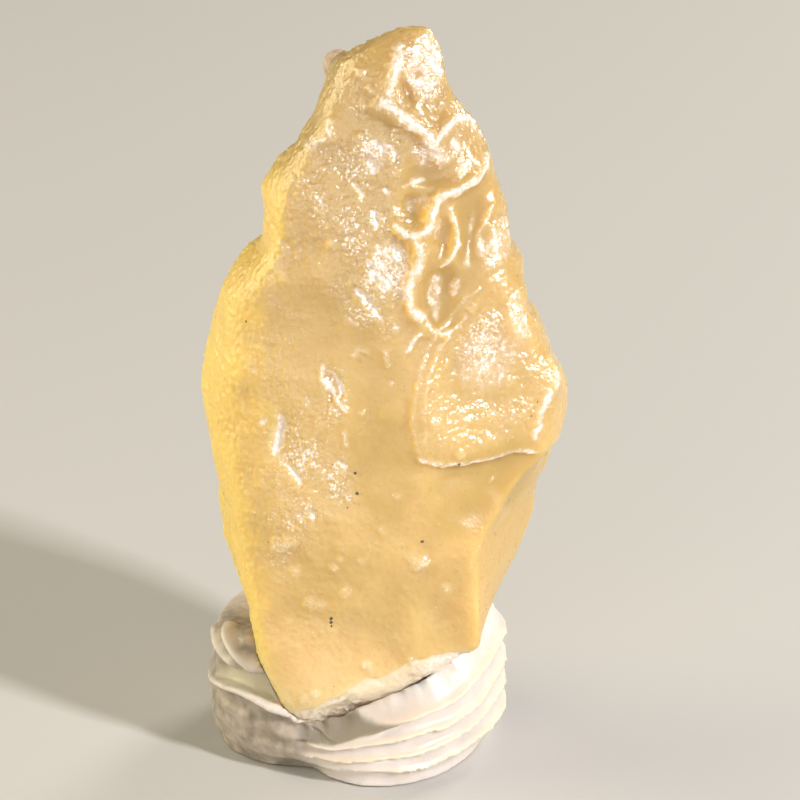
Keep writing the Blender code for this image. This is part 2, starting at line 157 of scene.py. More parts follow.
# %% Copy, round and remesh the glass
def fine_block(node, name, grid, iterations):
    """A copy of a CAD node, rounded, remeshed into squares of this many mm, and smoothed."""
    piece = copy_node(node, name)
    apply_modifier(piece, "SUBSURF", levels=1, render_levels=1)
    apply_modifier(piece, "REMESH", mode="VOXEL", voxel_size=grid * MM, adaptivity=0)
    apply_modifier(piece, "SMOOTH", factor=0.5, iterations=iterations)
    print(name, "has", len(piece.data.polygons), "faces")
    return piece


glass = fine_block("desert_glass", "glass_stone", grid=0.34, iterations=2)

# %% Cut the front once more
# The faces that look this much towards a camera 15 degrees up, above the buried foot
VIEW_SLOPE = math.radians(15)
LEAST_FACING = 0.12
CUT_ABOVE = 4.5

faces = glass.data.polygons
to_camera = np.array([0.0, -math.cos(VIEW_SLOPE), math.sin(VIEW_SLOPE)])
in_sight = read(faces, "normal") @ to_camera > LEAST_FACING
in_sight &= read(faces, "center")[:, 2] / MM > CUT_ABOVE
only(glass)
switch_to("EDIT")
bpy.ops.mesh.select_mode(type="FACE")
bpy.ops.mesh.select_all(action="DESELECT")
switch_to("OBJECT")
glass.data.polygons.foreach_set("select", in_sight)
switch_to("EDIT")
bpy.ops.mesh.subdivide(number_cuts=1, smoothness=1)
bpy.ops.mesh.select_all(action="DESELECT")
switch_to("OBJECT")
apply_modifier(glass, "SMOOTH", factor=0.5, iterations=1)
print("glass after the cut:", len(glass.data.polygons), "faces")

# %% [markdown]
# ## Carving the front
# Sculpting by brush would be the natural way, but a notebook has no hand to hold the brush. Each
# stroke is therefore a named row: where it is on the front, in millimetres seen from the front,
# how wide it is, and how high it stands or how deep it goes. All strokes push along the surface's
# own normal, as a draw brush does. The rows repeat the CAD's hollows and crests where the solid is
# coarse, and add the flakes, pits and beads that are too small for it.

# %% Strokes: standing crests
# half width, height, then the route as x, z
CRESTS = [
    ("summit crest", 0.42, 0.30, [(3.6, 61.0), (3.3, 60.0), (2.9, 59.0), (2.7, 58.0)]),
    ("long crest", 0.55, 0.42, [
        (2.2, 57.2), (3.4, 56.5), (4.5, 55.7), (5.5, 54.9), (6.3, 53.9), (6.6, 53.0),
    ]),
    ("shoulder crest", 0.34, 0.34, [
        (6.3, 54.2), (7.2, 55.2), (8.0, 55.6), (8.9, 55.2), (9.8, 54.1), (10.3, 53.0),
    ]),
    ("shelf crest", 0.36, 0.42, [
        (10.6, 52.4), (10.2, 51.4), (9.3, 50.6), (8.1, 50.2), (7.0, 49.9), (6.3, 49.4), (6.0, 48.4),
        (5.8, 47.6),
    ]),
    ("fork", 0.30, 0.34, [(6.0, 47.6), (5.3, 47.1), (4.6, 46.9), (3.9, 47.2), (3.3, 47.8)]),
    ("channel crest", 0.40, 0.40, [
        (4.7, 47.0), (5.1, 46.0), (5.0, 44.8), (4.4, 43.6), (4.1, 42.4), (4.5, 41.2), (5.2, 40.2),
    ]),
    ("channel foot", 0.22, 0.22, [(5.2, 40.2), (5.9, 39.4), (6.9, 38.9), (7.6, 39.0)]),
    ("crescent", 0.24, 0.32, [(7.7, 48.2), (8.1, 47.0), (8.1, 45.8), (7.6, 44.8), (6.8, 44.3)]),
    ("rough hollow side", 0.24, 0.26, [(1.4, 45.4), (1.3, 44.2), (1.1, 43.2)]),
    ("teardrop rim", 0.20, 0.22, [
        (10.9, 48.2), (10.2, 47.2), (9.7, 46.1), (9.8, 45.0), (10.3, 44.3), (11.2, 43.9),
    ]),
    ("upper left fold", 0.30, 0.24, [(-1.9, 55.6), (-2.0, 54.6), (-2.8, 53.9), (-3.8, 53.3)]),
    ("flake scar rim", 0.24, 0.40, [(-2.7, 36.3), (-2.6, 35.3), (-1.9, 34.3), (-1.3, 33.4), (-0.9, 32.8)]),
    ("short arc", 0.16, 0.18, [(-0.2, 37.1), (0.2, 37.6), (0.9, 37.5)]),
    ("short ridge", 0.18, 0.20, [(2.3, 37.6), (2.7, 36.5)]),
    ("left line", 0.18, 0.20, [(-0.9, 31.0), (-0.8, 29.8)]),
    ("small ridges", 0.24, 0.28, [(4.0, 37.7), (4.7, 38.4), (5.0, 39.0)]),
    ("right bead one", 0.42, 0.40, [(13.9, 41.5), (14.7, 40.0), (15.2, 38.6)]),
    ("right bead two", 0.34, 0.36, [(15.5, 38.0), (16.0, 36.8)]),
    ("right bead three", 0.42, 0.42, [(16.2, 35.4), (16.0, 33.8)]),
    ("right bead four", 0.34, 0.40, [(15.5, 33.4), (15.0, 32.2), (14.7, 31.0)]),
    ("right bead five", 0.32, 0.32, [(14.8, 30.5), (14.4, 29.8)]),
    ("plate outer rim", 0.17, 0.13, [
        (9.7, 42.1), (8.8, 41.3), (7.7, 40.2), (6.6, 38.9), (5.7, 37.6), (5.1, 36.0), (4.8, 34.0),
        (4.6, 32.0), (4.9, 30.2), (5.6, 28.5),
    ]),
    ("plate inner rim", 0.17, 0.13, [
        (8.8, 40.0), (7.7, 38.9), (6.7, 37.6), (6.0, 36.1), (5.6, 34.3), (5.5, 32.4), (5.6, 30.3),
    ]),
    ("ledge lip", 0.18, 0.42, [
        (5.2, 28.7), (6.8, 28.3), (8.4, 28.15), (10.8, 28.35), (12.2, 28.7), (13.6, 28.8), (14.7, 28.3),
    ]),
]

# %% Strokes: hollows, pits and low bulges
# middle x, z, half width, half height, turn in degrees, depth (a bulge has a negative depth)
HOLLOWS = [
    ("summit pit", 4.8, 59.4, 0.5, 0.6, 0, 0.40),
    ("summit groove", 4.15, 58.1, 0.5, 1.5, 24, 0.30),
    ("summit bulge", 6.0, 57.6, 1.2, 0.9, -30, -0.25),
    ("round pit", 4.5, 49.0, 1.0, 1.2, 0, 0.35),
    ("round pit shine", 4.9, 49.2, 0.5, 0.5, 0, -0.16),
    ("oval pit", 7.0, 46.5, 0.9, 1.8, -8, 0.20),
    ("saddle", 5.6, 51.6, 2.6, 1.1, 12, 0.25),
    ("upper channel", 9.0, 47.4, 1.4, 3.6, -4, 0.15),
    ("lower channel", 6.8, 42.4, 1.6, 3.0, -8, 0.18),
    ("channel eye left", 6.4, 42.0, 0.6, 1.4, -6, -0.10),
    ("channel eye right", 7.9, 42.3, 0.5, 1.0, -20, -0.10),
    ("teardrop", 11.6, 45.6, 1.3, 1.9, -25, -0.30),
    ("plate bulge", 9.8, 35.4, 1.9, 2.4, -30, -0.36),
    ("plate bulge high", 12.5, 38.7, 0.9, 2.0, 10, -0.28),
    ("plate bulge right", 12.2, 34.4, 0.9, 0.6, 20, -0.18),
    ("plate bulge low", 10.2, 31.6, 1.6, 0.6, 5, -0.16),
    ("plate dimple", 11.0, 32.9, 1.2, 0.9, 0, 0.15),
    ("flake scar", -2.1, 35.2, 0.6, 2.0, 24, 0.25),
    ("side dimple", -8.8, 32.4, 1.0, 2.4, 8, 0.20),
    ("low soft bulge", 3.0, 32.4, 1.2, 1.4, 0, -0.18),
    ("left groove", -6.1, 46.6, 0.35, 2.2, 38, 0.18),
    ("milky bulge", 2.0, 21.5, 4.0, 5.0, 10, -0.30),
    ("shoulder", -4.6, 45.4, 4.8, 2.4, 8, 0.16),
    ("milky hollow", 6.6, 14.8, 1.8, 4.2, -10, 0.25),
]

# %% Strokes: tilted flakes
# Each flake is a small flat facet. Its right end is sunk, so that it looks right, towards the light.
# middle x, z, half length, half width, turn of the way it looks above level, depth
FLAKES = [
    ("spindle", -6.3, 30.5, 2.2, 0.66, -9, 0.36),
    ("left speck", -7.5, 31.6, 0.5, 0.35, -20, 0.22),
    ("streak", -5.0, 27.2, 1.3, 0.42, 38, 0.34),
    ("low pair left", -4.5, 23.8, 0.6, 0.34, 20, 0.26),
    ("low pair right", -3.6, 23.9, 0.7, 0.36, 22, 0.30),
    ("bright flake", 0.9, 41.5, 1.5, 0.60, 42, 0.46),
    ("bright flake above", 1.2, 44.0, 1.3, 0.40, 20, 0.34),
    ("cluster a", 1.9, 53.8, 0.9, 0.50, 38, 0.34),
    ("cluster b", 2.9, 53.5, 0.8, 0.36, 34, 0.30),
    ("cluster c", 1.2, 52.2, 0.9, 0.65, 20, 0.36),
    ("cluster d", 0.2, 50.3, 0.9, 0.30, 24, 0.26),
    ("cluster e", 1.4, 48.2, 1.0, 0.45, 10, 0.34),
    ("cluster f", 2.3, 50.2, 0.6, 0.36, 50, 0.24),
    ("left nick", -2.8, 49.3, 0.9, 0.28, 14, 0.26),
    ("scar facet", -1.6, 34.9, 1.5, 0.55, 28, 0.30),
    ("small a", -3.9, 33.3, 0.6, 0.35, 10, 0.22),
    ("small b", 2.8, 35.0, 0.4, 0.3, 20, 0.18),
    ("small c", -1.1, 27.8, 0.7, 0.4, 40, 0.22),
    ("rough a", 3.1, 45.4, 0.9, 0.6, 40, 0.32),
    ("rough b", 2.2, 43.2, 0.9, 0.5, 30, 0.30),
    ("rough c", 3.5, 42.0, 0.8, 0.4, 60, 0.28),
    ("summit a", 6.2, 59.6, 1.1, 0.6, 30, 0.32),
    ("summit b", 4.9, 58.6, 1.0, 0.40, 75, 0.30),
    ("summit c", 5.6, 61.2, 0.8, 0.45, 40, 0.26),
    ("below crest a", 7.9, 53.4, 0.8, 0.5, 30, 0.30),
    ("below crest b", 6.4, 52.9, 0.7, 0.45, 20, 0.30),
    ("tail a", 2.0, 40.2, 0.6, 0.3, 30, 0.22),
    ("tail b", 3.2, 39.4, 0.5, 0.3, 50, 0.20),
    ("tail c", -0.3, 40.0, 0.6, 0.3, 60, 0.20),
]

# %% Strokes: single grains and bumps
# middle x, z, reach, height
GRAINS = [
    (-6.2, 20.9, 0.75, 0.26), (-5.4, 21.4, 0.5, 0.20), (-5.0, 18.6, 0.5, 0.20), (-1.8, 19.3, 0.35, 0.20),
    (-0.9, 17.2, 0.4, 0.22), (-3.8, 16.0, 0.55, 0.20), (-2.9, 15.8, 0.4, 0.14), (5.0, 20.0, 0.7, 0.28),
    (5.6, 20.3, 0.4, 0.20), (7.3, 17.6, 0.45, 0.20), (-3.4, 7.8, 0.4, 0.20), (-4.2, 7.3, 0.35, 0.18),
    (0.8, 10.6, 0.45, 0.20), (4.5, 11.0, 0.35, 0.18), (3.3, 25.7, 0.28, 0.18), (10.9, 26.2, 0.22, 0.14),
    (0.5, 32.6, 0.25, 0.18), (6.3, 31.9, 0.45, 0.20), (8.4, 28.9, 0.35, 0.16), (7.3, 36.4, 0.3, 0.16),
    (-1.3, 20.1, 0.3, 0.14), (0.2, 20.0, 0.3, 0.12), (2.2, 22.6, 0.4, 0.10), (12.0, 23.3, 0.3, 0.08),
    (-3.3, 57.4, 0.3, 0.16), (0.4, 59.3, 0.4, 0.24), (1.2, 58.2, 0.35, 0.22), (0.6, 57.0, 0.3, 0.18),
    (-0.5, 43.0, 0.4, 0.18), (-1.9, 46.2, 0.4, 0.18), (-3.1, 46.8, 0.3, 0.14), (9.4, 40.6, 0.4, 0.12),
]

# %% Strokes: frosted patches and painted highlights
# These are painted white, partly as sand frost and partly as painted highlights and glints, and
# they are rougher, but they don't move the surface by themselves. Middle x, z, half width, half
# height, turn, strength
FROST_AND_HIGHLIGHT_PATCHES = [
    ("teardrop", 11.5, 45.6, 1.2, 2.0, -25, 0.62),
    ("summit face", 5.6, 60.0, 1.7, 2.4, -15, 0.58),
    ("channel eye left", 6.4, 42.0, 0.5, 1.4, -6, 0.62),
    ("channel eye right", 7.9, 42.4, 0.45, 0.9, -20, 0.80),
    ("round pit shine", 4.9, 49.3, 0.9, 0.6, 0, 0.45),
    ("below the long crest", 6.3, 52.9, 1.5, 1.2, -20, 0.62),
    ("plate", 10.6, 36.4, 2.4, 2.8, -25, 0.55),
    ("plate high", 13.0, 39.4, 0.8, 2.2, 10, 0.60),
    ("oval pit side", 6.6, 47.3, 0.4, 0.9, 10, 0.62),
    ("rough hollow", 3.0, 44.6, 1.6, 2.2, 12, 0.55),
    ("upper cluster", 1.7, 53.2, 1.0, 1.6, -20, 0.58),
    ("chip end", 7.4, 10.4, 2.6, 1.3, 15, 0.75),
    ("left foot", -1.6, 6.2, 2.4, 1.3, 30, 0.50),
]


# %% Shapes that the brushes share
def smooth_step(t):
    """0 below 0, 1 above 1, and a soft rise between."""
    t = np.clip(t, 0, 1)
    return t * t * (3 - 2 * t)


def distance_to(x, z, route):
    """Distance in the front view to a route of straight runs."""
    nearest = np.full(len(x), 1e9)
    for (ax, az), (bx, bz) in zip(route, route[1:]):
        dx, dz = bx - ax, bz - az
        t = np.clip(((x - ax) * dx + (z - az) * dz) / (dx * dx + dz * dz), 0, 1)
        nearest = np.minimum(nearest, np.hypot(x - ax - t * dx, z - az - t * dz))
    return nearest


def ellipse(x, z, mid_x, mid_z, half_x, half_z, turn):
    """0 in the middle of a turned ellipse and 1 on its edge, and the place along its first axis."""
    angle = math.radians(turn)
    along = ((x - mid_x) * math.cos(angle) + (z - mid_z) * math.sin(angle)) / half_x
    across = ((z - mid_z) * math.cos(angle) - (x - mid_x) * math.sin(angle)) / half_z
    return np.hypot(along, across), along


def zone_strength(x, z, zones, edge=1.3, fade=0.7):
    """The strongest of some turned ellipses at each place, fading out across their edges."""
    strength = np.zeros(len(x))
    for mid_x, mid_z, half_x, half_z, turn, most in zones:
        reach, _ = ellipse(x, z, mid_x, mid_z, half_x, half_z, turn)
        strength = np.maximum(strength, most * smooth_step((edge - reach) / fade))
    return strength


def lumps(points, size, seed):
    """Soft random lumps of one size, about -1 to 1. A seed always gives the same lumps."""
    offset = Vector((seed, 2.3 * seed, -1.7 * seed))
    return np.array([noise.noise(Vector(p) / size + offset) for p in points]) * 1.6


# %% The brushes
def crest_lift(x, z):
    """Cusps, sharp on top with long skirts, and how white each place is painted, as frost and as painted
    highlight.
    """
    lift, frost_and_highlight = np.zeros(len(x)), np.zeros(len(x))
    for _, half_width, rise, route in CRESTS:
        away = distance_to(x, z, route) / half_width
        lift = np.maximum(lift, 0.55 * rise * np.exp(-(away**1.4)))
        frost_and_highlight = np.maximum(frost_and_highlight, min(1.0, rise / 0.30) * np.exp(-((away / 0.85) ** 2)))
    return lift, frost_and_highlight


def hollow_lift(x, z):
    """Round-bottomed hollows and round-topped bulges."""
    lift = np.zeros(len(x))
    for _, mid_x, mid_z, half_x, half_z, turn, depth in HOLLOWS:
        reach, _ = ellipse(x, z, mid_x, mid_z, half_x, half_z, turn)
        lift -= depth * np.clip(1 - reach**2, 0, 1) ** 1.4
    return lift


def flake_lift(x, z):
    """Flat facets that slope down to one side, with a crisp border."""
    lift = np.zeros(len(x))
    for _, mid_x, mid_z, half_long, half_wide, turn, depth in FLAKES:
        reach, across = ellipse(x, z, mid_x, mid_z, half_wide, half_long, turn)
        ramp = depth * np.clip(across + 0.5, 0, 1.5)
        lift -= ramp * smooth_step((1 - reach) / 0.3)
    return lift


def grain_lift(x, z):
    """Small round grains that stand proud."""
    lift = np.zeros(len(x))
    for mid_x, mid_z, reach, height in GRAINS:
        away = np.hypot(x - mid_x, z - mid_z) / reach
        lift += height * np.exp(-(away**3))
    return lift


# %% Carve
points = points_of(glass)
normals = normals_of(glass)
x, y, z = points.T
front_view = smooth_step((-normals[:, 1] + 0.05) / 0.5) * smooth_step((0.5 - y) / 2.0)
# A small random shift keeps the strokes from looking drawn with a compass
x = x + 0.16 * lumps(points, 1.3, 31.0) + 0.07 * lumps(points, 0.55, 37.0)
z = z + 0.16 * lumps(points, 1.3, 41.0) + 0.07 * lumps(points, 0.55, 43.0)
uneven = 1.0 + 0.35 * lumps(points, 0.9, 47.0)
crests, crest_frost_and_highlight = crest_lift(x, z)
flakes = flake_lift(x, z)
grains = grain_lift(x, z)
lift = crests * uneven + hollow_lift(x, z) + flakes * uneven + grains
frost_and_highlight_patches = zone_strength(x, z, [row[1:] for row in FROST_AND_HIGHLIGHT_PATCHES], edge=1.25, fade=0.6)
# Painted white: the crests, the listed patches, the sunk ends of flakes and the grains, partly as sand
# frost and partly as painted highlights and glints
frost_and_highlight = np.maximum.reduce([crest_frost_and_highlight, frost_and_highlight_patches, -flakes / 0.2, grains / 0.6])
frost_and_highlight = np.clip(frost_and_highlight * front_view, 0, 1.35)
set_points(glass, points + normals * (lift * front_view)[:, None])
print("carved between", round(float(lift.min()), 2), "and", round(float(lift.max()), 2), "mm")

# %% [markdown]
# ## Rough and smooth zones
# Sand has left some places pitted like orange peel and others licked smooth. A zone is a soft
# patch with a strength. The same zones steer the roughness of the shape here and the colour later,
# so that the frosting, with its painted glints, always sits on the rough places, as frost does on the real
# stone.

# %% Zones seen from the front
# middle x, z, half width, half height, turn, strength
ROUGH_ZONES = [
    (5.4, 59.4, 2.0, 3.2, -10, 1.0), (0.4, 58.4, 2.6, 2.8, 20, 0.55), (6.4, 53.7, 2.6, 1.8, -20, 0.9),
    (1.4, 53.0, 2.4, 2.4, 0, 1.0), (-2.4, 51.0, 3.2, 4.8, 0, 0.5), (0.4, 48.2, 3.6, 3.2, 0, 0.7),
    (2.7, 44.7, 2.1, 3.0, 12, 1.0), (0.4, 42.4, 2.0, 3.0, 25, 0.8), (2.8, 40.2, 3.2, 2.0, 0, 0.5),
    (11.4, 45.6, 1.3, 2.0, -25, 0.6), (11.0, 37.6, 3.0, 2.6, -20, 0.8), (11.0, 33.8, 5.0, 5.2, 0, 0.45),
    (-1.9, 34.8, 1.2, 2.8, 24, 0.6), (-4.2, 30.8, 3.4, 3.2, 0, 0.7), (-3.6, 26.6, 3.4, 3.2, 10, 0.8),
    (-5.6, 22.4, 2.4, 4.0, 0, 0.45), (6.4, 32.4, 1.4, 4.0, -6, 0.35), (-6.0, 44.0, 3.6, 5.0, 10, 0.32),
    (-6.6, 36.5, 2.8, 5.0, 0, 0.26), (-8.2, 28.0, 2.2, 6.0, 0, 0.26), (-3.0, 13.0, 4.0, 4.0, 0, 0.12),
]
SMOOTH_ZONES = [
    (9.4, 47.2, 1.7, 4.6, -6, 1.0), (6.6, 42.2, 1.7, 3.2, -10, 1.0), (5.8, 51.6, 2.8, 1.2, 14, 0.8),
    (4.5, 49.0, 1.1, 1.3, 0, 0.9), (10.6, 25.6, 5.0, 3.6, 18, 1.0), (2.0, 31.0, 2.8, 8.0, 6, 0.5),
    (-2.6, 39.4, 3.0, 4.0, 20, 0.4), (7.0, 46.6, 0.9, 1.9, -8, 0.5), (4.2, 58.0, 0.5, 1.3, 24, 0.8),
]


# %% Chipped grain and peel
def chipped(points, size, seed):
    """Small facets side by side, each tilted its own way, as on chipped glass."""
    offset = Vector((seed, -seed, 0.5 * seed))
    height = np.empty(len(points))
    for row, p in enumerate(points):
        place = Vector(p) / size + offset
        middle = noise.voronoi(place)[1][0]
        tilt = noise.cell_vector(middle * 9.0) - Vector((0.5, 0.5, 0.5))
        height[row] = (place - middle).dot(tilt) * 2
    return height


def pits(points, size, seed):
    """Round pits side by side with sharp rims: 0 in a pit's middle and about 1 on a rim."""
    offset = Vector((seed, -seed, 0.5 * seed))
    nearest = np.empty((len(points), 2))
    for row, p in enumerate(points):
        nearest[row] = noise.voronoi(Vector(p) / size + offset)[0][:2]
    return np.clip(nearest[:, 0] / np.maximum(nearest[:, 1], 1e-6), 0, 1)


# %% How rough and how smooth each place is
points = points_of(glass)
normals = normals_of(glass)
x, y, z = points.T
in_front = smooth_step((-normals[:, 1] + 0.15) / 0.4)
elsewhere = 1 - in_front
# The zones' borders wander, so that no ellipse can be made out
stray_x = x + 0.7 * lumps(points, 1.7, 43.0)
stray_z = z + 0.9 * lumps(points, 1.9, 47.0)
smooth = zone_strength(stray_x, stray_z, SMOOTH_ZONES) * in_front
rough = zone_strength(stray_x, stray_z, ROUGH_ZONES) * in_front
rough = np.maximum(rough, 0.75 * np.minimum(frost_and_highlight, 1) ** 0.4) * (1 - 0.9 * smooth)
patchy = smooth_step(0.5 + 0.8 * lumps(points, 1.9, 61.0))
rough = np.maximum(rough * (0.35 + 0.65 * patchy), 0.5 * patchy * elsewhere)
left_flank = smooth_step((-6.6 - x) / 2.4) * smooth_step((46 - z) / 6)
print("rough over", round(100 * float((rough > 0.3).mean())), "% of the points")

# %% Weather the skin
facets = chipped(points, 0.9, 3.0)
small_facets = chipped(points, 0.45, 7.0)
peel = pits(points, 0.75, 3.0) - 0.6
grit = lumps(points, 0.34, 5.0)
hammered = lumps(points, 0.9, 8.0)
waves = lumps(points, 2.2, 13.0)
skin = (
    rough * (0.17 * facets + 0.17 * small_facets + 0.10 * peel + 0.09 * grit)
    + (1 - rough) * (1 - smooth) * (0.03 * grit + 0.03 * hammered + 0.02 * small_facets + 0.02 * peel)
    + left_flank * (0.06 * peel + 0.03 * grit)
    + elsewhere * (0.08 * peel + 0.08 * waves + 0.10 * facets)
    + 0.06 * waves
)
set_points(glass, points + normals * skin[:, None])
print("skin between", round(float(skin.min()), 2), "and", round(float(skin.max()), 2), "mm")

# %% [markdown]
# ## Clean breaks
# Two places, at the foot and on the lower right, are fresh breaks. On the real stone they are flat,
# with a crisp border, so they are cut last, after all the weathering. A knife can't be used
# without a window. Pulling every point outside the break back onto it does the same, and it keeps
# the even mesh.

# %% The chip at the foot
# Its border, as x, z seen from the front
CHIP_BORDER = [
    (-6.5, 5.4), (-5.2, 5.9), (-3.0, 7.0), (-0.9, 8.2), (0.8, 9.6), (1.9, 9.5), (3.2, 10.3), (4.5, 11.2),
    (6.8, 11.8), (9.3, 11.9), (10.4, 12.2),
]

points = points_of(glass)
normals = normals_of(glass)
x, y, z = points.T
below = np.interp(x, *np.array(CHIP_BORDER).T) + 0.12 * lumps(points, 1.2, 71.0) - z
chip = smooth_step(below / 0.22) * smooth_step((-normals[:, 1] + 0.1) / 0.3) * smooth_step((2.0 - y) / 2.0)
ribs = chipped(points, 2.6, 19.0)
points = points + normals * (chip * (-0.16 + 0.20 * ribs + 0.02 * small_facets))[:, None]
print("chip:", int((chip > 0.5).sum()), "points")

# %% The break on the flank
# Its bent front edge and its far rail, as z, x, y
FLANK_EDGE = [
    (9.0, 9.6, -9.6), (12.0, 10.1, -9.5), (14.0, 10.3, -9.3), (16.5, 10.3, -9.0), (18.2, 10.4, -8.7),
    (20.0, 10.6, -8.4), (21.3, 11.0, -8.1), (22.6, 11.6, -7.8), (23.8, 12.3, -7.4), (25.2, 13.2, -6.8),
    (26.3, 14.2, -6.2), (27.2, 15.2, -5.4), (28.4, 16.0, -4.2),
]
FLANK_RAIL = [
    (9.0, 10.2, -2.7), (12.4, 11.1, -2.4), (16.6, 13.2, -1.6), (21.9, 15.0, -1.0), (25.2, 16.4, -1.2),
    (28.4, 16.6, -1.3),
]
# The break ends between these heights, and this much of the stone behind it is taken off
FLANK_FROM = 9.5
FLANK_TO = 27.4
FLANK_DEPTH = 0.10


def at_height(z, line):
    """Where a line given as z, x, y runs at each height, as x, y."""
    line_z, line_x, line_y = np.array(line).T
    return np.stack([np.interp(z, line_z, line_x), np.interp(z, line_z, line_y)], axis=1)


def beyond(distance, rounding):
    """How far a place is beyond a cut, with a rounded start: about 0 before the cut."""
    return rounding * np.logaddexp(0, distance / rounding)


edge, rail = at_height(z, FLANK_EDGE), at_height(z, FLANK_RAIL)
run = (rail - edge) / np.linalg.norm(rail - edge, axis=1)[:, None]
outward = np.stack([run[:, 1], -run[:, 0]], axis=1)
outside = ((points[:, :2] - edge) * outward).sum(axis=1) + FLANK_DEPTH
outside = outside - 6 * smooth_step((z - FLANK_TO) / 1.0) - 6 * smooth_step((FLANK_FROM - z) / 3.0)
points[:, :2] -= beyond(outside, 0.03)[:, None] * outward
flank = smooth_step((outside + 0.10) / 0.12)
print("flank:", int((flank > 0.5).sum()), "points")


# %% Keep the glass in its box
def kept_in(box, points, margin=0.0):
    """The points, with any outside a box moved back onto its sides."""
    low, high = (np.array(corner) / MM for corner in box)
    return np.clip(points, low + margin, high - margin)


points = kept_in(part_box("desert_glass"), points, margin=0.002)
set_points(glass, points)
print("glass reaches from", points.min(axis=0).round(2), "to", points.max(axis=0).round(2), "mm")

# %% [markdown]
# ## Stored zones for the material
# A shader can't ask which zone it is in, so each zone is kept as a number on every point of the
# mesh. The attribute is read in the material by its name.

# %% Dark specks
# Tiny dark grains in the glass: x, z, radius
SPECKS = [
    (-2.05, 14.8, 0.16), (-2.05, 14.45, 0.16), (-2.0, 14.1, 0.10), (-0.05, 27.35, 0.15), (0.1, 25.7, 0.16),
    (5.34, 21.8, 0.15), (5.6, 14.87, 0.09), (-1.9, 28.0, 0.10), (-7.1, 21.2, 0.08), (-1.9, 8.6, 0.09),
    (2.4, 10.6, 0.08), (1.6, 13.6, 0.07), (8.3, 28.15, 0.14), (14.6, 32.7, 0.10), (14.1, 31.6, 0.10),
    (-8.76, 39.2, 0.10), (-0.65, 24.5, 0.09),
]

x, y, z = points_of(glass).T
speck = np.full(len(x), 9.0)
for speck_x, speck_z, size in SPECKS:
    speck = np.minimum(speck, np.hypot(x - speck_x, z - speck_z) / size)
speck = np.where(in_front > 0.2, speck, 9.0)
print(int((speck < 1).sum()), "points in", len(SPECKS), "specks")


# %% Attributes on the glass
def store(piece, name, values):
    """Keeps one number per point under a name."""
    attribute = piece.data.attributes.new(name, "FLOAT", "POINT")
    attribute.data.foreach_set("value", np.asarray(values, np.float32))


# Painted glow: the left side is painted brighter yellow, as daylight shining through would make it, less
# so at the top and towards the foot
looking_left = smooth_step((-0.15 - normals[:, 0]) / 0.7)
left_side = smooth_step((-6.0 - x + 2.0 * waves) / 6.0)
painted_glow = np.maximum(0.9 * looking_left, left_side)
painted_glow = painted_glow * (1 - 0.8 * smooth_step((z - 48) / 7)) * smooth_step((z - 1) / 11)
# Painted glow at the foot: the body there is painted lighter, standing in for light coming through
foot, _ = ellipse(x, z, -1.6, 6.5, 8.5, 8.0, 0)

store(glass, "rough", rough * (1 - flank))
store(glass, "frost_and_highlight", frost_and_highlight)
store(glass, "chip", chip)
store(glass, "flank", flank)
store(glass, "smooth", smooth)
store(glass, "foot", smooth_step((1.2 - foot) / 0.9))
store(glass, "painted_glow", painted_glow)
# The body is darker towards the top
store(glass, "darker_upwards", smooth_step((z - 24) / 30))
store(glass, "speck", np.clip(speck, 0, 9))
print("stored", [a.name for a in glass.data.attributes if not a.name.startswith(".")])
